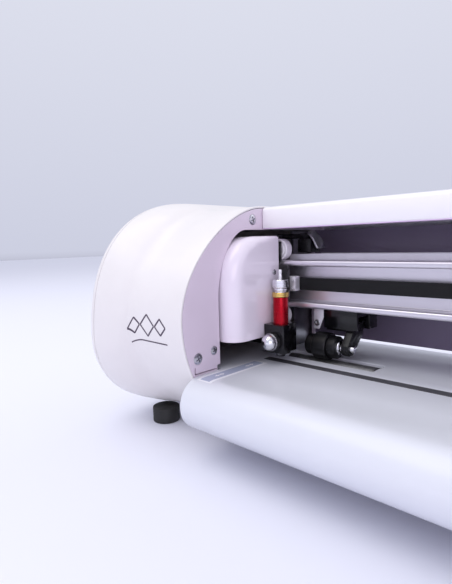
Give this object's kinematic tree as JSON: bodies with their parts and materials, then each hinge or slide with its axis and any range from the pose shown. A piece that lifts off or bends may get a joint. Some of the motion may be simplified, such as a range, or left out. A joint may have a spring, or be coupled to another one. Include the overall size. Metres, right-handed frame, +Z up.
{
  "type": "vinyl cutter",
  "caption": "Desktop roll cutter with rounded end pods, a beam, and a belt-driven blade carriage over a platen with grit and pinch rollers.",
  "frame": {"origin": "on the table, under the middle of the whole machine", "axes": "+X along the beam to the operator's right, -Y towards the operator, +Z up"},
  "size_m": [0.94, 0.216, 0.1827],
  "materials": {
    "white_shell": "moulded, glossy",
    "white_cap": "moulded, glossy",
    "plate_grey": "satin powder coat",
    "white_sheet": "semi-gloss powder coat",
    "shade_sheet": "satin powder coat",
    "platen_sheet": "satin powder coat",
    "cover_white": "moulded, high gloss",
    "galvanised": "zinc plated sheet",
    "steel": "turned",
    "screw_steel": "polished screw heads",
    "extrusion": "anodised extrusion",
    "silver": "machined",
    "black_alloy": "black anodised",
    "black_plastic": "moulded",
    "strip": "cutting strip, satin",
    "label": "printed film",
    "foot": "moulded rubber",
    "bearing": "sintered bronze",
    "belt": "toothed belt",
    "motor": "stepper motor case",
    "board": "circuit board",
    "console": "moulded, glossy black",
    "screen": "display window",
    "key": "silicone key",
    "red_key": "silicone key",
    "inlet": "moulded socket",
    "ribbon": "flat cable in a tray",
    "wheel_white": "acetal",
    "coil": "wound coil",
    "red_anodised": "red anodised",
    "gold": "gold anodised",
    "chrome": "polished",
    "blade_steel": "ground carbide",
    "grit": "knurled steel",
    "gear": "moulded gear",
    "pinion_brass": "cut pinion",
    "roller_rubber": "moulded rubber",
    "rocker_black": "rocker"
  },
  "bodies": {
    "frame": {"base_chassis": "galvanised", "platen": "platen_sheet", "cutting_strip": "strip", "beam": "extrusion", "top_cover": "white_sheet", "rear_panel": "shade_sheet", "left_pod_shell": "white_shell", "left_side_panel": "white_cap", "left_inner_plate": "plate_grey", "right_pod_shell": "white_shell", "right_side_panel": "white_cap", "right_inner_plate": "plate_grey", "plate_screws": "screw_steel", "pod_bulkheads": "galvanised", "alignment_labels": "label", "rubber_feet": "foot", "shaft_bearings": "bearing", "drive_belt": "belt", "drive_motors": "motor", "control_board": "board", "control_panel": "console", "display_window": "screen", "power_inlet": "inlet", "ribbon_cable": "ribbon"},
    "carriage": {"carriage_plate": "black_alloy", "carriage_cover": "cover_white", "belt_clamp": "silver", "wheel_axles": "steel", "guide_rods": "steel", "lift_coil": "coil", "cable_bracket": "steel", "cable_clamp": "black_plastic"},
    "wheel_1": {"carriage_wheel_1": "wheel_white"},
    "wheel_2": {"carriage_wheel_2": "wheel_white"},
    "wheel_3": {"carriage_wheel_3": "wheel_white"},
    "wheel_4": {"carriage_wheel_4": "wheel_white"},
    "tool": {"tool_slide": "black_alloy", "clamp_jaw": "black_alloy", "blade_holder": "red_anodised", "holder_collar": "gold"},
    "knob": {"clamp_knob": "chrome"},
    "cap": {"depth_cap": "chrome"},
    "pin": {"eject_pin": "steel"},
    "blade": {"cutting_blade": "blade_steel"},
    "belt_drive": {"drive_pulley": "silver"},
    "belt_idler": {"idler_pulley": "silver"},
    "grit": {"grit_shaft": "grit", "feed_gear": "gear"},
    "pinion": {"feed_pinion": "pinion_brass"},
    "lever": {"pinch_lever": "black_plastic"},
    "saddle_1": {"pinch_block_1": "black_alloy"},
    "saddle_2": {"pinch_block_2": "black_alloy"},
    "arm_1": {"pinch_arm_1": "black_plastic"},
    "arm_2": {"pinch_arm_2": "black_plastic"},
    "roller_1": {"pinch_roller_1": "roller_rubber"},
    "roller_2": {"pinch_roller_2": "roller_rubber"},
    "rocker": {"power_switch": "rocker_black"},
    "key_menu": {"menu_key": "key"},
    "key_confirm": {"confirm_key": "key"},
    "key_stop": {"stop_key": "red_key"}
  },
  "joints": [
    {"name": "carriage_slide", "type": "slide", "parent": "frame", "child": "carriage", "axis": [1, 0, 0], "range_m": [0, 0.66]},
    {"name": "wheel_1_spin", "type": "hinge", "parent": "carriage", "child": "wheel_1", "pos_m": [-0.3515, 0.002, 0.13885], "axis": [0, 1, 0], "continuous": true},
    {"name": "wheel_2_spin", "type": "hinge", "parent": "carriage", "child": "wheel_2", "pos_m": [-0.388, 0.002, 0.13885], "axis": [0, 1, 0], "continuous": true},
    {"name": "wheel_3_spin", "type": "hinge", "parent": "carriage", "child": "wheel_3", "pos_m": [-0.3515, 0.002, 0.08695], "axis": [0, 1, 0], "continuous": true},
    {"name": "wheel_4_spin", "type": "hinge", "parent": "carriage", "child": "wheel_4", "pos_m": [-0.388, 0.002, 0.08695], "axis": [0, 1, 0], "continuous": true},
    {"name": "belt_drive_spin", "type": "hinge", "parent": "frame", "child": "belt_drive", "pos_m": [0.412, 0.012, 0.112], "axis": [0, 0, 1], "continuous": true},
    {"name": "belt_idler_spin", "type": "hinge", "parent": "frame", "child": "belt_idler", "pos_m": [-0.412, 0.012, 0.112], "axis": [0, 0, 1], "continuous": true},
    {"name": "tool_lift", "type": "slide", "parent": "carriage", "child": "tool", "axis": [0, 0, 1], "range_m": [-0.003, 0], "stiffness_N_per_m": 250, "springref_m": 0.012},
    {"name": "knob_turn", "type": "hinge", "parent": "tool", "child": "knob", "pos_m": [-0.3375, -0.0381, 0.072], "axis": [0, 1, 0], "range_deg": [-540, 0]},
    {"name": "depth_turn", "type": "hinge", "parent": "tool", "child": "cap", "pos_m": [-0.3385, -0.017, 0.114], "axis": [0, 0, 1], "range_deg": [-360, 360]},
    {"name": "eject_press", "type": "slide", "parent": "tool", "child": "pin", "axis": [0, 0, 1], "range_m": [-0.001, 0], "stiffness_N_per_m": 300, "springref_m": 0.003},
    {"name": "blade_swivel", "type": "hinge", "parent": "tool", "child": "blade", "pos_m": [-0.3385, -0.017, 0.08], "axis": [0, 0, 1], "continuous": true},
    {"name": "grit_spin", "type": "hinge", "parent": "frame", "child": "grit", "pos_m": [0, 0.007, 0.0472], "axis": [1, 0, 0], "continuous": true},
    {"name": "pinion_spin", "type": "hinge", "parent": "frame", "child": "pinion", "pos_m": [0.375, 0.0426, 0.0339], "axis": [1, 0, 0], "continuous": true},
    {"name": "lever_turn", "type": "hinge", "parent": "frame", "child": "lever", "pos_m": [0, 0.045, 0.092], "axis": [1, 0, 0], "range_deg": [-50, 0]},
    {"name": "saddle_1_slide", "type": "slide", "parent": "frame", "child": "saddle_1", "axis": [1, 0, 0], "range_m": [0, 0.16]},
    {"name": "saddle_2_slide", "type": "slide", "parent": "frame", "child": "saddle_2", "axis": [1, 0, 0], "range_m": [-0.16, 0]},
    {"name": "arm_1_rock", "type": "hinge", "parent": "saddle_1", "child": "arm_1", "pos_m": [-0.307, 0.033, 0.083], "axis": [1, 0, 0], "range_deg": [-3.55, 0]},
    {"name": "roller_1_spin", "type": "hinge", "parent": "arm_1", "child": "roller_1", "pos_m": [-0.313, 0.007, 0.06555], "axis": [1, 0, 0], "continuous": true},
    {"name": "arm_2_rock", "type": "hinge", "parent": "saddle_2", "child": "arm_2", "pos_m": [0.307, 0.033, 0.083], "axis": [1, 0, 0], "range_deg": [-3.55, 0]},
    {"name": "roller_2_spin", "type": "hinge", "parent": "arm_2", "child": "roller_2", "pos_m": [0.313, 0.007, 0.06555], "axis": [1, 0, 0], "continuous": true},
    {"name": "power_rock", "type": "hinge", "parent": "frame", "child": "rocker", "pos_m": [0.385, 0.095, 0.084], "axis": [1, 0, 0], "range_deg": [-12, 0]},
    {"name": "menu_press", "type": "slide", "parent": "frame", "child": "key_menu", "axis": [0, -0.4384, 0.8988], "range_m": [-0.0012, 0], "stiffness_N_per_m": 400, "springref_m": 0.002},
    {"name": "confirm_press", "type": "slide", "parent": "frame", "child": "key_confirm", "axis": [0, -0.4384, 0.8988], "range_m": [-0.0012, 0], "stiffness_N_per_m": 400, "springref_m": 0.002},
    {"name": "stop_press", "type": "slide", "parent": "frame", "child": "key_stop", "axis": [0, -0.4384, 0.8988], "range_m": [-0.0012, 0], "stiffness_N_per_m": 400, "springref_m": 0.002}
  ],
  "couplings": [
    {"joint": "wheel_1_spin", "follows": "carriage_slide", "rad_per_m": 120.48},
    {"joint": "wheel_2_spin", "follows": "carriage_slide", "rad_per_m": 120.48},
    {"joint": "wheel_3_spin", "follows": "carriage_slide", "rad_per_m": -133.33},
    {"joint": "wheel_4_spin", "follows": "carriage_slide", "rad_per_m": -133.33},
    {"joint": "belt_drive_spin", "follows": "carriage_slide", "rad_per_m": 120.48},
    {"joint": "belt_idler_spin", "follows": "carriage_slide", "rad_per_m": 120.48},
    {"joint": "pinion_spin", "follows": "grit_spin", "ratio": -3},
    {"joint": "roller_1_spin", "follows": "grit_spin", "ratio": -0.7767},
    {"joint": "roller_2_spin", "follows": "grit_spin", "ratio": -0.7767},
    {"joint": "arm_1_rock", "follows": "lever_turn", "ratio": 0.07},
    {"joint": "arm_2_rock", "follows": "lever_turn", "ratio": 0.07}
  ]
}
